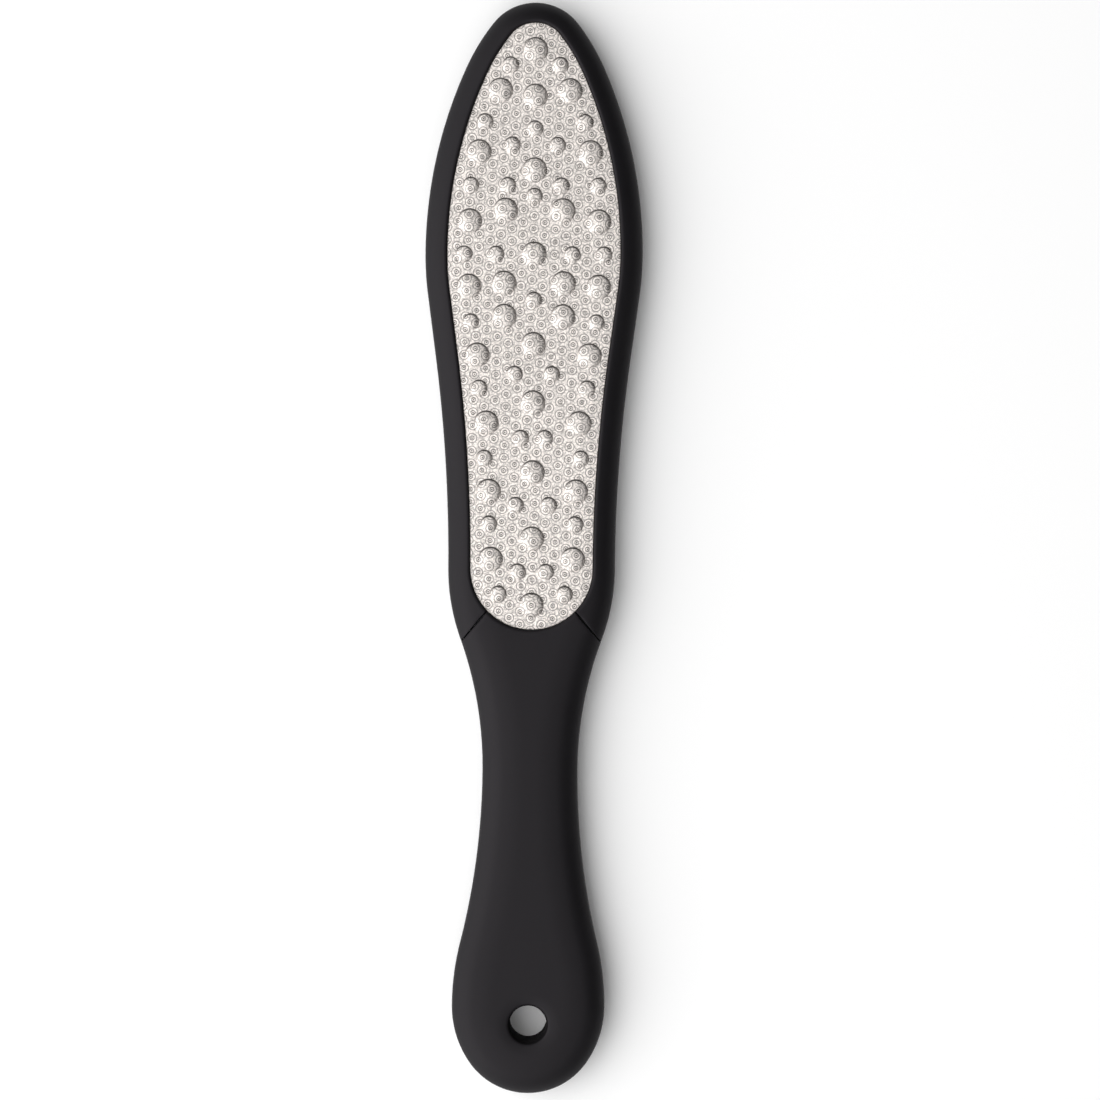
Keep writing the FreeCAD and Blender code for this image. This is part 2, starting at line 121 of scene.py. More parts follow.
core_plastic, place = new_finish("core_plastic")
flow, fibre = place.noise(220, 4), place.noise(2400, 3)
close_finish(place, {
    "Base Color": flow.blend((0.030, 0.030, 0.032, 1), (0.062, 0.062, 0.066, 1)),
    "Roughness": 0.48 + 0.2 * flow,
    "Normal": fibre.grain(0.3, 0.0001),
})
dress("spine", core_plastic)


# A bond sheet is double-sided film, cut to the bed and laid between it and each plate.
# It is a fibre web soaked with pale adhesive, rolled down by hand, with small trapped bubbles.
bond_film, place = new_finish("bond_film")
web, bubbles = place.noise(900, 5), place.noise(160, 2)
close_finish(place, {
    "Base Color": web.blend((0.62, 0.59, 0.52, 1), (0.82, 0.80, 0.74, 1)),
    "Roughness": 0.35 + 0.35 * bubbles,
    "Normal": web.grain(0.4, 0.00008),
})
for node_name in ("front_bond_sheet", "back_bond_sheet"):
    dress(node_name, bond_film)


# The front file plate is thin stainless sheet with pressed domes of two sizes, rolled down at its edge.
# Its face is etched all over with small double rings and a fine grain, and it is bonded to the bed.
MM = 0.001

# Sizes are in mm. The outline is a chain of arcs through stations, each a half-width and its place along the
# file. The shares say how much of a way is straight, and how the two arcs of a bend divide it.
HALF_LENGTH = 130.0
HEAD_HALF, HEAD_Y = 25.92, 70.0
WAIST_HALF, WAIST_Y = 19.88, -4.9
NECK_HALF, NECK_Y = 11.34, -52.9
BULB_HALF, BULB_Y = 18.2, -109.2
TIP_RADIUS, TIP_TURN, TAIL_TURN = 12.8, math.radians(38), math.radians(35)
BROW_TURN_SHARE = 1.5
HEAD_STRAIGHT, HEAD_BEND, WAIST_BEND, NECK_BEND = 0.20, 0.16, 0.35, 0.735
HEAD_ARCS, FOOT_POINTS = 5, 40
RIM_WIDTH = 5.2
PLATE_TOP, PLATE_FLOOR = 10.15, 9.65
PLATE_INSET, ROLL_WIDTH, ROLL_DROP = 4.3, 0.32, 0.4
ROLL_SHARES = [0, 0.04, 0.14, 0.3, 0.5, 0.75, 1]
# Painted shade darkens the outer part of the rolled-down edge, where it goes under the rim's lip.
ROLL_SHADE_FROM, ROLL_SHADE_RATE = 0.35, 4
PLATE_SHARP_DEGREES = 60
OUTLINE_STEP = 0.8

# Domes as distances from the long axis and from the tip, before they are drawn in by DOME_SPREAD towards
# the middle of the file; one off the axis has a twin.
# Each is pressed with a steep edge on the side of the tip and a gentle one on the side of the handle.
DOME_EDGE_HEIGHT, STEEP_EDGE, GENTLE_EDGE, STEEP_TOWARDS = 0.4, 0.26, 1.2, math.radians(98)
# The next width is half that of a band of painted shade along each dome's steep edge, darkest on the side of
# the tip, where the edge turns from the light.
EDGE_SHADE_HALF = 0.18
DOME_ROWS = [0.14, 0.06, -0.01, -0.06, -0.12, -0.19, -0.27, -0.45, -0.8]
DOME_SHARES, DOME_SIDES = [0.28, 0.5], 48
DOME_SPREAD = 0.994
LARGE_DOME_RADIUS, LARGE_DOME_HEIGHT = 2.95, 0.85
LARGE_DOMES = [
    (0, 11.1), (8.3, 20.85), (0, 22.2), (13.3, 35.6), (0, 39.8), (6.86, 49.5), (15.4, 52.1), (0, 59.9),
    (15.5, 67.7), (7.08, 66.9), (7.0, 74.8), (0, 81.5), (13.4, 84.1), (0, 95.4), (11.1, 100.3), (0, 112.1),
    (10.4, 116.6), (0, 127.9), (9.8, 132.8), (0, 143.7),
]
SMALL_DOME_RADIUS, SMALL_DOME_HEIGHT = 2.0, 0.7
SMALL_DOMES = [
    (5.93, 14.8), (11.97, 28.4), (0, 30.0), (5.42, 33.9), (15.2, 43.6), (6.39, 43.6), (0, 46.1), (9.1, 60.0),
    (16.7, 60.0), (0, 70.9), (15.0, 76.2), (4.46, 88.6), (12.9, 92.0), (2.87, 103.9), (11.5, 108.7),
    (3.96, 119.9), (10.3, 124.4), (3.35, 135.8), (7.9, 141.1),
]

# The rings lie on a slightly slanted lattice with two steps from one pair to the next. Each is an outer
# line, a pale band, an inner line and a spot, given by their radii.
RING_STEPS, RING_START = np.array([[2.529, -1.555], [-2.614, -1.473]]), (-2.2, 0.0)
OUTER_RING, PALE_RING, INNER_RING, RING_SPOT = 1.10, 0.80, 0.47, 0.15
RING_HALF, RING_BLUR = 0.09, 0.05


def bend_between(half_a, y_a, half_b, y_b, straight_share, first_share):
    """Radii and turn of two opposite arcs between two stations that both run along the axis."""
    across, along = abs(half_a - half_b), y_a - y_b
    both = (across**2 + along**2 - (straight_share * along)**2) / (2 * across)
    reach = math.hypot(both - across, along)
    turn = math.atan2(along, both - across) - math.acos(min(1, both / reach))
    return both * first_share, both * (1 - first_share), turn


def two_radii(a, b, c, d, across, along):
    """Two radii whose shares a and b add up to a way across, and c and d to a way along."""
    det = a * d - b * c
    return (across * d - b * along) / det, (a * along - across * c) / det


def side_arcs():
    """Arcs of the right side from tip to tail: centre, radius, first and last turn, +1 if convex."""
    ca, sa = math.cos(TIP_TURN), math.sin(TIP_TURN)
    across, along = HEAD_HALF - TIP_RADIUS * ca, HALF_LENGTH - HEAD_Y - TIP_RADIUS * (1 - sa)
    brow_turn = BROW_TURN_SHARE * math.atan2(across, along)
    cb, sb = math.cos(brow_turn), math.sin(brow_turn)
    flank, brow = two_radii(1 - cb, cb - ca, sb, sa - sb, across, along)
    cg, sg = math.cos(TAIL_TURN), math.sin(TAIL_TURN)
    bulb, tail = two_radii(1 - cg, cg, sg, 1 - sg, BULB_HALF, BULB_Y + HALF_LENGTH)
    flank_x = HEAD_HALF - flank
    a, b, turn_a = bend_between(HEAD_HALF, HEAD_Y, WAIST_HALF, WAIST_Y, HEAD_STRAIGHT, HEAD_BEND)
    c, d, turn_c = bend_between(WAIST_HALF, WAIST_Y, NECK_HALF, NECK_Y, 0, WAIST_BEND)
    e, f, turn_e = bend_between(NECK_HALF, NECK_Y, BULB_HALF, BULB_Y, 0, NECK_BEND)
    return [
        (0, HALF_LENGTH - TIP_RADIUS, TIP_RADIUS, math.pi / 2, TIP_TURN, 1),
        (flank_x + (flank - brow) * cb, HEAD_Y + (flank - brow) * sb, brow, TIP_TURN, brow_turn, 1),
        (flank_x, HEAD_Y, flank, brow_turn, 0, 1),
        (HEAD_HALF - a, HEAD_Y, a, 0, -turn_a, 1),
        (WAIST_HALF + b, WAIST_Y, b, -turn_a, 0, -1),
        (WAIST_HALF - c, WAIST_Y, c, 0, -turn_c, 1),
        (NECK_HALF + d, NECK_Y, d, -turn_c, 0, -1),
        (NECK_HALF + e, NECK_Y, e, 0, turn_e, -1),
        (BULB_HALF - f, BULB_Y, f, turn_e, 0, 1),
        (BULB_HALF - bulb, BULB_Y, bulb, 0, -TAIL_TURN, 1),
        (0, tail - HALF_LENGTH, tail, -TAIL_TURN, -math.pi / 2, 1),
    ]


ARCS = side_arcs()


def arc_points(arc, inset, turns):
    """Points of an arc at these turns, moved inwards."""
    x, y, radius, _, _, bulge = arc
    reach = bulge * (radius - bulge * inset)
    return np.column_stack([x + reach * np.cos(turns), y + reach * np.sin(turns)])


def spaced(line, step):
    """The same line with its points no farther apart than the step, and no point twice."""
    runs = []
    for start, end in zip(line, line[1:]):
        length = math.dist(start, end)
        if length > 1e-6:
            count = math.ceil(length / step)
            runs.append(start + (end - start) * np.arange(count)[:, None] / count)
    return np.vstack(runs + [line[-1:]])


def side_line(inset, arcs=ARCS):
    """The right side from the tip on, moved inwards."""
    runs = []
    for arc in arcs:
        count = max(3, math.ceil(abs(arc[4] - arc[3]) * arc[2] / OUTLINE_STEP))
        runs.append(arc_points(arc, inset, np.linspace(arc[3], arc[4], count + 1)))
    return spaced(np.vstack(runs), 2 * OUTLINE_STEP)


def head_line(inset):
    """The right side of the head, closed below by a quarter circle about the waist."""
    radius = WAIST_HALF - inset
    turns = np.linspace(0, -math.pi / 2, FOOT_POINTS)
    foot = np.column_stack([radius * np.cos(turns), WAIST_Y + radius * np.sin(turns)])
    return spaced(np.vstack([side_line(inset, ARCS[:HEAD_ARCS]), foot]), 2 * OUTLINE_STEP)


def mirrored(line):
    """The same line on the other side of the long axis."""
    return line * [-1, 1]


def closed(line):
    """A loop from a right side that starts and ends on the axis."""
    return np.vstack([line, mirrored(line)[-2:0:-1]])


def edge_gap(points, arcs=ARCS):
    """How far points lie inside the outline, square to its edge."""
    x, y = np.abs(points[:, 0]), points[:, 1]
    gap = np.full(len(points), np.inf)
    for arc in arcs:
        cx, cy, radius, first, last, bulge = arc
        dx, dy = bulge * (x - cx), bulge * (y - cy)
        turn = np.arctan2(dy, dx)
        beside = (turn > min(first, last) - 1e-6) & (turn < max(first, last) + 1e-6)
        gap = np.where(beside, np.minimum(gap, bulge * (radius - np.hypot(dx, dy))), gap)
    for before, after in zip(arcs, arcs[1:]):
        start, end = arc_points(before, 0, before[4])[0], arc_points(after, 0, after[3])[0]
        length = math.dist(start, end)
        if length > 1e-6:
            ux, uy = (end - start) / length
            along = (x - start[0]) * ux + (y - start[1]) * uy
            across = (x - start[0]) * uy - (y - start[1]) * ux
            gap = np.where((along > 0) & (along < length), np.minimum(gap, across), gap)
    return gap


def head_gap(points):
    """The same for the head alone, with its round foot."""
    below = WAIST_HALF - np.hypot(points[:, 0], points[:, 1] - WAIST_Y)
    return np.where(points[:, 1] < WAIST_Y, below, edge_gap(points, ARCS[:HEAD_ARCS]))


def triangles(loops, loose):
    """Triangles inside loops and through loose points: the points, the triangles, and where each
    point of the loops has gone."""
    points = np.vstack(list(loops) + [loose]) if len(loose) else np.vstack(loops)
    edges, start = [], 0
    for loop in loops:
        edges += [(start + i, start + (i + 1) % len(loop)) for i in range(len(loop))]
        start += len(loop)
    flat, _, faces, origins, _, _ = delaunay_2d_cdt(
        [Vector(point) for point in points.tolist()], edges, [], 1, 1e-7)
    went = {}
    for index, origin in enumerate(origins):
        for source in origin:
            went[source] = index
    return np.array([tuple(point) for point in flat]), faces, [went[i] for i in range(start)]


def new_piece(name, points, faces, material, sharp_degrees):
    """A mesh object from points in mm, with its faces turned outwards and its true edges sharp."""
    mesh = bpy.data.meshes.new(name)
    mesh.from_pydata((np.asarray(points) * MM).tolist(), [], faces)
    shell = bmesh.new()
    shell.from_mesh(mesh)
    bmesh.ops.delete(shell, geom=[v for v in shell.verts if not v.link_faces], context="VERTS")
    bmesh.ops.recalc_face_normals(shell, faces=shell.faces)
    shell.to_mesh(mesh)
    shell.free()
    mesh.shade_smooth()
    mesh.set_sharp_from_angle(angle=math.radians(sharp_degrees))
    mesh.materials.append(material)
    piece = bpy.data.objects.new(name, mesh)
    bpy.context.scene.collection.objects.link(piece)
    return piece


def both_twins(domes, radius, height):
    """Domes and their twins, each as its place, radius and height."""
    return [
        (side * x * DOME_SPREAD, (HALF_LENGTH - from_tip) * DOME_SPREAD, radius, height)
        for x, from_tip in domes for side in ((1, -1) if x else (1,))
    ]


DOMES = (both_twins(LARGE_DOMES, LARGE_DOME_RADIUS, LARGE_DOME_HEIGHT)
         + both_twins(SMALL_DOMES, SMALL_DOME_RADIUS, SMALL_DOME_HEIGHT))


def dome_form(points, domes):
    """Height of the domes at points, and the painted shade along their steep edge there."""
    rise, painted_edge_shade = np.zeros(len(points)), np.zeros(len(points))
    for x, y, radius, height in domes:
        swell = height - DOME_EDGE_HEIGHT
        ball = (radius**2 + swell**2) / (2 * swell)
        across, along = points[:, 0] - x, points[:, 1] - y
        out = np.hypot(across, along)
        lean = 0.5 + 0.5 * np.cos(np.arctan2(along, across) - STEEP_TOWARDS)
        width = STEEP_EDGE + (GENTLE_EDGE - STEEP_EDGE) * (1 - lean)
        cap = np.sqrt(np.maximum(ball**2 - out**2, 0)) - (ball - swell)
        edge = 1 - (1 - np.clip((radius - out) / width, 0, 1))**2
        rise = np.maximum(rise, np.where(out < radius, cap + DOME_EDGE_HEIGHT * edge, 0))
        # Painted shade: a dark band along the steep edge, strongest on the tip side.
        near = np.clip(1.5 - np.abs(out - radius + STEEP_EDGE / 2) / EDGE_SHADE_HALF, 0, 1)
        painted_edge_shade = np.maximum(painted_edge_shade, near * lean**3)
    return rise, painted_edge_shade


def circle_points(x, y, radius, count):
    """Points evenly round a circle."""
    turns = np.arange(count) * 2 * math.pi / count
    return np.column_stack([x + radius * np.cos(turns), y + radius * np.sin(turns)])


def file_plate(name, domes, material):
    """A file plate lying face up: domed, rolled down at the edge, with a flat floor."""
    outline = closed(head_line(PLATE_INSET))
    roll = [RIM_WIDTH + ROLL_WIDTH * share for share in ROLL_SHARES]
    loose = [closed(head_line(inset)) for inset in roll]
    for x, y, radius, _ in domes:
        loose += [circle_points(x, y, radius + row, DOME_SIDES) for row in DOME_ROWS]
        loose.append(np.array([[x, y]]))
        loose += [circle_points(x, y, radius * share, DOME_SIDES // 2) for share in DOME_SHARES]
    flat, faces, edge = triangles([outline], np.vstack(loose))
    share = np.clip((roll[-1] - head_gap(flat)) / ROLL_WIDTH, 0, 1)
    rise, painted_edge_shade = dome_form(flat, domes)
    top = PLATE_TOP + rise - ROLL_DROP * (1 - np.sqrt(1 - share**2))
    under, floor_faces, floor_edge = triangles([outline], [])
    start = len(flat)
    points = np.vstack([
        np.column_stack([flat, top]), np.column_stack([under, np.full(len(under), PLATE_FLOOR)]),
    ])
    foot = [start + index for index in floor_edge]
    walls = [(edge[i - 1], foot[i - 1], foot[i], edge[i]) for i in range(len(edge))]
    floor_faces = [tuple(start + index for index in reversed(tri)) for tri in floor_faces]
    piece = new_piece(name, points, list(faces) + walls + floor_faces, material, PLATE_SHARP_DEGREES)
    # Painted shade on the rolled-down edge, next to the rim's lip.
    painted_roll_shade = np.clip(ROLL_SHADE_RATE * (share - ROLL_SHADE_FROM), 0, 1)
    dark = np.concatenate([np.maximum(painted_edge_shade, painted_roll_shade), np.zeros(len(under))])
    mark = piece.data.attributes.new("painted_edge_shade", "FLOAT", "POINT")
    mark.data.foreach_set("value", dark.astype(np.float32))
    return piece


file_steel, place = new_finish("file_steel")
# This attribute is painted shade, on the domes' steep edges and on the plate's rolled-down edge.
painted_edge_shade = place.node("ShaderNodeAttribute", {"attribute_name": "painted_edge_shade"}, {}, "Fac")
fine, coarse, cloud = place.noise(2800, 2), place.noise(1500, 3), place.noise(45, 2)
grain = 0.6 * fine + 0.4 * coarse
across, along = [place.node("ShaderNodeSeparateXYZ", {}, {0: place}, axis) for axis in "XY"]
to_cell = np.linalg.inv(RING_STEPS * MM)
across, along = across - RING_START[0] * MM, along - RING_START[1] * MM
cells = [across * to_cell[0, i] + along * to_cell[1, i] for i in (0, 1)]
parts = [cell - cell.maths("ROUND", cell, 0.0) for cell in cells]
right, up = [parts[0] * RING_STEPS[0, i] + parts[1] * RING_STEPS[1, i] for i in (0, 1)]
square = right * right + up * up
out = square.maths("SQRT", square, 0.0)
# The inner line is painted darker at its top and bottom than at its sides, as painted shade of how the light
# falls across it.
upright = up.maths("DIVIDE", up * up, square + 0.001)
etch = (0.58 * out.band(OUTER_RING, RING_HALF, RING_BLUR) + out.band(0.0, RING_SPOT, RING_BLUR)
        + (0.55 + 0.45 * upright) * out.band(INNER_RING, RING_HALF, RING_BLUR))
etch = etch * (2.0 * fine + 0.05)
pale = out.band(PALE_RING, 2 * RING_HALF, RING_BLUR)
sheet = 4.6 * grain + 0.15 * cloud + 0.08 * pale - 1.75
sheet_colour = sheet.blend((0.46, 0.434, 0.414, 1), (1.0, 0.945, 0.905, 1))
# The dark colour takes both the etched rings and the painted shade.
dark = etch.maths("MAXIMUM", etch, painted_edge_shade)
close_finish(place, {
    "Base Color": (0.95 * dark).blend(sheet_colour, (0.055, 0.051, 0.048, 1)),
    "Metallic": 1.0,
    "Roughness": 0.54 + 0.2 * grain + 0.1 * etch,
    "Normal": (grain - 0.2 * etch).grain(0.55, 0.00012),
})

front_plate = file_plate("front_plate", DOMES, file_steel)
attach(front_plate, "root")
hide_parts("front_file_plate")


# The back file plate is the same stainless sheet without domes, for smoothing after the front.
# It has the same etched rings, faces down, and is bonded to the other side of the bed.
THICKNESS = 11.2


def turned_over(piece):
    """Turns a piece that was made face up over to the back of the file."""
    for vertex in piece.data.vertices:
        vertex.co.z = THICKNESS * MM - vertex.co.z
    piece.data.flip_normals()


back_plate = file_plate("back_plate", [], file_steel)
turned_over(back_plate)
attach(back_plate, "root")
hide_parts("back_file_plate")


# The rim is a U-shaped frame round the head, in a front and a back half that meet at mid-height.
# Both are moulded in black satin plastic, with a round outer edge and a lip over the edge of the plate.
PARTING_Z, LIP_UNDER_Z = 5.6, 10.25
BELT_TURN, CROWN_SLOPE = math.radians(30), math.radians(8.5)
EDGE_RADIUS, BELT_RADIUS = 6.9, 2.5
CROWN_REACH = 0.87 * NECK_HALF
EDGE_X = EDGE_RADIUS * math.cos(BELT_TURN)
EDGE_REACH = EDGE_X - EDGE_RADIUS * math.sin(CROWN_SLOPE)
CROWN_RISE = (CROWN_REACH - EDGE_REACH) * math.tan(CROWN_SLOPE / 2)
EDGE_Z = THICKNESS - CROWN_RISE - EDGE_RADIUS * math.cos(CROWN_SLOPE)
BELT_Z = EDGE_Z + math.sqrt((EDGE_RADIUS - BELT_RADIUS)**2 - (EDGE_X - BELT_RADIUS)**2)
BELT_REACH = BELT_RADIUS * (1 - (EDGE_X - BELT_RADIUS) / (EDGE_RADIUS - BELT_RADIUS))
LIP_ROUND, LIP_DROP, LIP_WIDTH = 0.8, 0.36, 1.0
PARTING_ROUND_HEIGHT, PARTING_ROUND_DEPTH = 0.12, 0.08
SHELL_SHARP_DEGREES = 35
SEAM_X, SEAM_Y, SEAM_TURN = 11.1, -15.8, math.radians(50)
SEAM_HALF, SEAM_ROUND, SEAM_DROP, SEAM_CLOSE = 0.15, 0.3, 0.16, 0.149
EDGE_ROWS = [
    0.01, 0.04, 0.1, 0.18, 0.28, 0.4, 0.54, 0.75, 1.0, 1.3, 1.65, 2.05, 2.5, 3.0, 3.55, 4.1, 4.7, 5.4, 6.2,
    7.1, 8.1, 9.2, 10.1,
]
LIP_ROWS = [0.02, 0.06, 0.13, 0.22, 0.34, 0.48, 0.64, 0.8]
SEAM_ROWS = [0.02, 0.06, 0.12, 0.2, 0.3]

# The points of a seam start at this row in from the outer edge, and rows keep clear of each other by these
# distances, so that no thin faces come between them.
SEAM_FROM_ROW = 3
SEAM_CLEAR, ROW_CLEAR, LIP_CLEAR, HOLE_CLEAR = 0.05, 0.02, 0.1, 0.2

# The hanging hole goes through the handle, and its bore is rougher in the shared black finish, with painted
# shade that makes the bore and the lip round it near black.
HOLE_Y, HOLE_RADIUS, BORE_EDGE = -113.0, 4.4, 0.4
HOLE_SIDES, BORE_MARGIN = 64, 0.007


def section_height(gap):
    """Height of the front face at a distance from the outer edge."""
    gap = np.maximum(gap, 0)
    belt = BELT_Z + np.sqrt(np.maximum(BELT_RADIUS**2 - (BELT_RADIUS - gap)**2, 0))
    edge = EDGE_Z + np.sqrt(np.maximum(EDGE_RADIUS**2 - (EDGE_X - gap)**2, 0))
    crown = THICKNESS - CROWN_RISE * (np.maximum(CROWN_REACH - gap, 0) / (CROWN_REACH - EDGE_REACH))**2
    return np.where(gap < BELT_REACH, belt, np.where(gap < EDGE_REACH, edge, crown))


def rounding(gap, width, drop):
    """How far a rounded edge falls at a distance from it."""
    return drop * (1 - np.sqrt(1 - np.clip(1 - gap / width, 0, 1)**2))


def window_gap(points):
    """How far points lie outside the plate window."""
    return RIM_WIDTH - head_gap(points)


def rim_seam_gap(points):
    """How far points lie from the seam between rim and handle, on the rim's side."""
    across, along = np.abs(points[:, 0]) - SEAM_X, points[:, 1] - SEAM_Y
    return across * math.sin(SEAM_TURN) + along * math.cos(SEAM_TURN) - SEAM_HALF


def grip_seam_gap(points):
    """The same on the handle's side."""
    return -rim_seam_gap(points) - 2 * SEAM_HALF


def crossing(line, seam_gap, level):
    """Where a line crosses the seam at a distance from it, as a list of one point or none."""
    gaps = seam_gap(line) - level
    steps = np.flatnonzero((gaps[:-1] > 0) != (gaps[1:] > 0))
    return [line[k] + (line[k + 1] - line[k]) * gaps[k] / (gaps[k] - gaps[k + 1]) for k in steps[:1]]


def slope(field, points):
    """Direction in which a distance grows."""
    step = 1e-4
    across = field(points + [step, 0]) - field(points - [step, 0])
    along = field(points + [0, step]) - field(points - [0, step])
    return np.column_stack([across, along]) / (2 * step)


def kept(line, seam_gap, level):
    """The points of a line that lie farther than a level from the seam, on a moulding's own side."""
    return line[seam_gap(line) > level]


def from_hole(points):
    """How far points lie outside the hanging hole."""
    return np.hypot(points[:, 0], points[:, 1] - HOLE_Y) - HOLE_RADIUS


def unbored(points, faces):
    """The faces that do not lie in the hanging hole, told by where their middles are."""
    middles = points[np.array(faces)].mean(axis=1)
    return [face for face, gap in zip(faces, from_hole(middles)) if gap > -BORE_MARGIN]


def face_edge(seam_gap):
    """The edge of a moulding's face: its outer line, its right seam from there on, and its window line."""
    outer, window = side_line(0), head_line(RIM_WIDTH)
    corner, inner_corner = [crossing(line, seam_gap, 0) for line in (outer, window)]
    seam = [point for row in EDGE_ROWS[SEAM_FROM_ROW:] for point in crossing(side_line(row), seam_gap, 0)]
    seam = [point for point in seam if window_gap(point[None])[0] > LIP_WIDTH + SEAM_CLEAR]
    seam = np.vstack(seam + crossing(head_line(RIM_WIDTH - LIP_WIDTH), seam_gap, 0))
    outer, window = kept(outer, seam_gap, 1e-6), kept(window, seam_gap, 1e-6)
    if seam_gap is rim_seam_gap:
        outer, window = np.vstack([outer] + corner), np.vstack([window] + inner_corner)
        outer = np.vstack([mirrored(outer)[:0:-1], outer])
        window = np.vstack([window[::-1], mirrored(window)[1:]])
    else:
        outer, window = np.vstack(corner + [outer]), np.vstack(inner_corner + [window])
        outer = np.vstack([mirrored(outer), outer[-2::-1]])
        window = np.vstack([window, mirrored(window)[-2::-1]])
    return outer, seam, window


def face_points(seam_gap, hole):
    """Loose points on a moulding's face, in rows along its outer edge, window, seams and hole."""

    def row(line):
        at_seam = [point for level in SEAM_ROWS for point in crossing(line, seam_gap, level)]
        return np.vstack([kept(line, seam_gap, SEAM_ROWS[-1] + ROW_CLEAR)] + at_seam)

    edge_rows = np.vstack([row(side_line(inset)) for inset in EDGE_ROWS])
    lip_rows = np.vstack([row(head_line(RIM_WIDTH - reach)) for reach in LIP_ROWS])
    loose = np.vstack([edge_rows[window_gap(edge_rows) > LIP_ROUND + LIP_CLEAR], lip_rows])
    loose = loose[loose[:, 0] > -1e-6]
    if hole:
        loose = loose[from_hole(loose) > HOLE_ROWS[-1] + HOLE_CLEAR]
    loose = np.vstack([loose, mirrored(loose[loose[:, 0] > 1e-3])])
    if hole:
        rings = [circle_points(0, HOLE_Y, HOLE_RADIUS + reach, HOLE_SIDES) for reach in HOLE_ROWS]
        loose = np.vstack([loose] + rings)
    return loose


def face_height(points, seam_gap, hole):
    """Height of a moulding's face, rounded down at its window, its seams and its hole."""
    height = section_height(edge_gap(points)) - rounding(window_gap(points), LIP_ROUND, LIP_DROP)
    height -= rounding(seam_gap(points), SEAM_ROUND, SEAM_DROP)
    if hole:
        reach = from_hole(points)
        height -= rounding(reach, HOLE_ROUND, HOLE_DROP)
        height -= DISH_DROP * np.clip(1 - reach / HOLE_ROWS[-1], 0, 1)**2
    return height


def moulding(name, seam_gap, hole, material):
    """The front half of rim or handle: its face, its walls, the lip's underside and the parting face."""
    outer, seam, window = face_edge(seam_gap)
    loops = [np.vstack([outer, seam, window, mirrored(seam)[::-1]])]
    if hole:
        loops.append(circle_points(0, HOLE_Y, HOLE_RADIUS, HOLE_SIDES))
    flat, faces, edge = triangles(loops, face_points(seam_gap, hole))
    height = face_height(flat, seam_gap, hole)
    points = [tuple(p) + (z,) for p, z in zip(flat.tolist(), height.tolist())]
    faces = [tuple(face) for face in (unbored(flat, faces) if hole else faces)]

    def lowered(places, z):
        first = len(points)
        points.extend((x, y, z) for x, y in np.asarray(places).tolist())
        return list(range(first, len(points)))

    def strip(upper, lower, ring=False):
        for i in range(0 if ring else 1, len(upper)):
            faces.append((upper[i - 1], lower[i - 1], lower[i], upper[i]))

    n_outer, n_seam, n_window = len(outer), len(seam), len(window)
    outer_top = edge[:n_outer]
    seam_top = edge[n_outer:n_outer + n_seam]
    window_top = edge[n_outer + n_seam:n_outer + n_seam + n_window]
    twin_top = edge[n_outer + n_seam + n_window:len(loops[0])]

    # The outer wall ends in a small round at the parting face.
    low_places = outer.copy()
    low_places[[0, -1]] -= SEAM_CLOSE * slope(seam_gap, outer[[0, -1]])
    low = lowered(low_places, PARTING_Z + PARTING_ROUND_HEIGHT)
    outer_foot = lowered(low_places + PARTING_ROUND_DEPTH * slope(edge_gap, outer), PARTING_Z)
    strip(outer_top, low)
    strip(low, outer_foot)

    # The lip has an underside over the plate's edge, and a wall goes down from it beside the bed.
    lip_places, bed_places = window.copy(), window + LIP_WIDTH * slope(window_gap, window)
    bed_places[[0, -1]] = np.vstack([seam[-1:], mirrored(seam[-1:])])
    for places in (lip_places, bed_places):
        places[[0, -1]] -= SEAM_CLOSE * slope(seam_gap, places[[0, -1]])
    lip_under = lowered(lip_places, LIP_UNDER_Z)
    strip(window_top, lip_under)
    bed_top, bed_foot = lowered(bed_places, LIP_UNDER_Z), lowered(bed_places, PARTING_Z)
    strip(lip_under, bed_top)
    strip(bed_top, bed_foot)

    # The seam walls close in on the middle of the seam as they go down, and meet the other walls in corners.
    seam_places = seam[:-1] - SEAM_CLOSE * slope(seam_gap, seam[:-1])
    seam_foot = lowered(seam_places, PARTING_Z) + [bed_foot[0]]
    twin_foot = [bed_foot[-1]] + lowered(mirrored(seam_places)[::-1], PARTING_Z)
    strip(seam_top[:-1], seam_foot[:-1])
    strip(twin_top[1:], twin_foot[1:])
    faces.append((seam_top[-2], seam_foot[-2], bed_foot[0], bed_top[0], seam_top[-1]))
    faces.append((twin_top[0], bed_top[-1], bed_foot[-1], twin_foot[1], twin_top[1]))
    faces.append((seam_top[-1], bed_top[0], lip_under[0], window_top[0]))
    faces.append((window_top[-1], lip_under[-1], bed_top[-1], twin_top[0]))
    faces.append((outer_top[-1], low[-1], outer_foot[-1], seam_foot[0], seam_top[0]))
    faces.append((twin_top[-1], twin_foot[-1], outer_foot[0], low[0], outer_top[0]))

    # The parting face closes the half below, with the hole's bore through it.
    foot_loop = outer_foot + seam_foot[:-1] + bed_foot + twin_foot[1:]
    foot_loops = [np.array([points[i][:2] for i in foot_loop])]
    if hole:
        hole_top = edge[len(loops[0]):]
        hole_foot = lowered(loops[1], PARTING_Z)
        hole_middle = lowered(loops[1], (PARTING_Z + THICKNESS) / 2)
        strip(hole_top, hole_middle, ring=True)
        strip(hole_middle, hole_foot, ring=True)
        foot_loop = foot_loop + hole_foot
        foot_loops.append(loops[1])
    floor, floor_faces, floor_edge = triangles(foot_loops, [])
    names = {went: foot_loop[i] for i, went in enumerate(floor_edge)}
    if hole:
        floor_faces = unbored(floor, floor_faces)
    faces.extend(tuple(names[index] for index in reversed(face)) for face in floor_faces)
    return new_piece(name, points, faces, material, SHELL_SHARP_DEGREES)


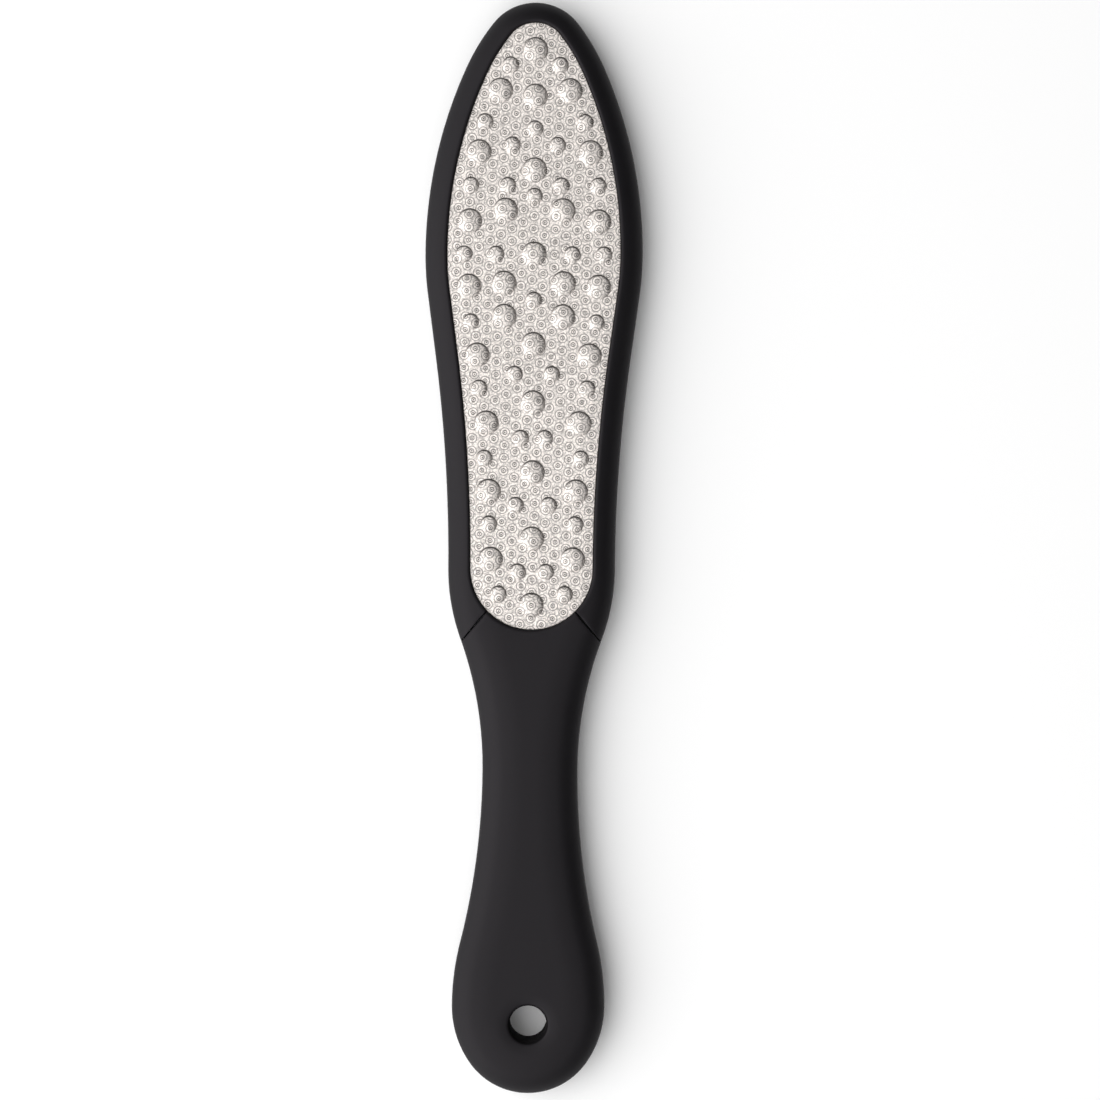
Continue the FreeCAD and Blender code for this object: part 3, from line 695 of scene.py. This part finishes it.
black_shell, place = new_finish("black_shell")
pores, skin, haze = place.noise(3800, 3), place.noise(1100, 3), place.noise(60, 2)
across, along = [place.node("ShaderNodeSeparateXYZ", {}, {0: place}, axis) for axis in "XY"]
along = along - HOLE_Y * MM
square = across * across + along * along
# Painted shade: the bore and a thin band of the lip round it are near black.
bore = square.maths("LESS_THAN", square, ((HOLE_RADIUS + BORE_EDGE) * MM)**2)
skin_colour = (0.5 * skin + 0.5 * haze).blend((0.0042, 0.0039, 0.0046, 1), (0.0085, 0.0080, 0.0092, 1))
close_finish(place, {
    "Base Color": bore.blend(skin_colour, (0.0010, 0.0010, 0.0011, 1)),
    "Roughness": 0.45 + 0.1 * skin + 0.08 * haze + 0.4 * bore,
    "Specular IOR Level": 0.22,
    "Specular Tint": (1.0, 0.93, 1.0, 1),
    "Normal": (0.6 * pores + 0.4 * skin).grain(0.25, 0.00006),
})

for side in ("front", "back"):
    rim = moulding(f"rim_{side}_half", rim_seam_gap, False, black_shell)
    if side == "back":
        turned_over(rim)
    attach(rim, "root")
    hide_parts(f"rim_{side}")


# The handle is two shells of the same black plastic, pressed together round the tang with posts.
# They carry the lower arc of the plate window, and the hanging hole with a soft lip through the bulb.
HOLE_ROUND, HOLE_DROP, DISH_DROP = 0.8, 0.65, 0.35
HOLE_ROWS = [0.02, 0.06, 0.13, 0.23, 0.36, 0.52, 0.7, 0.9, 1.1, 1.3, 1.6, 2.0, 2.4, 2.8, 3.2]

for side in ("front", "back"):
    grip = moulding(f"grip_{side}_shell", grip_seam_gap, True, black_shell)
    if side == "back":
        turned_over(grip)
    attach(grip, "root")
    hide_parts(f"grip_{side}")


# The stage is a plain white table, lit by one large soft lamp from the left and by the room.
# The camera looks straight down on the file, which lies on its back.
TABLE_HALF_M, TABLE_Z_M = 4.0, -0.0001
TABLE_PAINT, TABLE_GLOW = 0.97, 0.04
LAMP_PLACE_M, LAMP_SIZE_M, LAMP_WATTS = (-0.85, -0.25, 0.85), 2.1, 24.5
CAMERA_PLACE_M, CAMERA_TURN, CAMERA_LENS_MM = (0.00436, -0.00048, 0.667), math.radians(0.46), 90.6

# The room is brighter to the left and near side than to the right and far side.
ROOM_LIGHT, ROOM_RISE, ROOM_EAST_FALL, ROOM_NORTH_FALL = 0.36, 0.39, 0.77, 0.5
ROOM_BRIGHTEST = 0.95

floor_finish, place = new_finish("white_table")
camera_ray, glossy_ray, through_ray = [
    place.node("ShaderNodeLightPath", {}, {}, f"Is {kind} Ray")
    for kind in ("Camera", "Glossy", "Transmission")
]
seen = camera_ray + glossy_ray + through_ray
paint = place.node("ShaderNodeBsdfDiffuse", {}, {"Color": (TABLE_PAINT, TABLE_PAINT, TABLE_PAINT, 1)})
glow = place.node("ShaderNodeEmission", {}, {"Color": (1, 1, 1, 1), "Strength": TABLE_GLOW * seen})
both = place.node("ShaderNodeAddShader", {}, {0: paint, 1: glow})
place.node("ShaderNodeOutputMaterial", {}, {"Surface": both})

table_mesh = bpy.data.meshes.new("table")
corner_sides = ((-1, -1), (1, -1), (1, 1), (-1, 1))
table_corners = [(x * TABLE_HALF_M, y * TABLE_HALF_M, TABLE_Z_M) for x, y in corner_sides]
table_mesh.from_pydata(table_corners, [], [(0, 1, 2, 3)])
table_mesh.materials.append(floor_finish)
table = bpy.data.objects.new("table", table_mesh)
bpy.context.scene.collection.objects.link(table)

lamp = bpy.data.lights.new("left_lamp", "AREA")
lamp.shape = "SQUARE"
lamp.size = LAMP_SIZE_M
lamp.energy = LAMP_WATTS
lamp_holder = bpy.data.objects.new("left_lamp", lamp)
lamp_holder.location = LAMP_PLACE_M
lamp_holder.rotation_euler = (-Vector(LAMP_PLACE_M)).to_track_quat("-Z", "Y").to_euler()
bpy.context.scene.collection.objects.link(lamp_holder)

world = bpy.data.worlds.new("room")
world.use_nodes = True
bpy.context.scene.world = world
world.node_tree.nodes.clear()
towards = Finish(world.node_tree, world.node_tree.nodes.new("ShaderNodeTexCoord").outputs["Generated"])
east, north, up = [towards.node("ShaderNodeSeparateXYZ", {}, {0: towards}, axis) for axis in "XYZ"]
light = ROOM_LIGHT + ROOM_RISE * up - ROOM_EAST_FALL * east - ROOM_NORTH_FALL * north
light = light.maths("MINIMUM", light.maths("MAXIMUM", light, 0.0), ROOM_BRIGHTEST)
sky = towards.node("ShaderNodeBackground", {}, {"Strength": light})
towards.node("ShaderNodeOutputWorld", {}, {"Surface": sky})

camera = bpy.data.cameras.new("camera")
camera.sensor_width = 36.0
camera.lens = CAMERA_LENS_MM
camera_holder = bpy.data.objects.new("camera", camera)
camera_holder.location = CAMERA_PLACE_M
camera_holder.rotation_euler = (0, 0, CAMERA_TURN)
bpy.context.scene.collection.objects.link(camera_holder)
bpy.context.scene.camera = camera_holder
bpy.context.scene.view_settings.view_transform = "Standard"
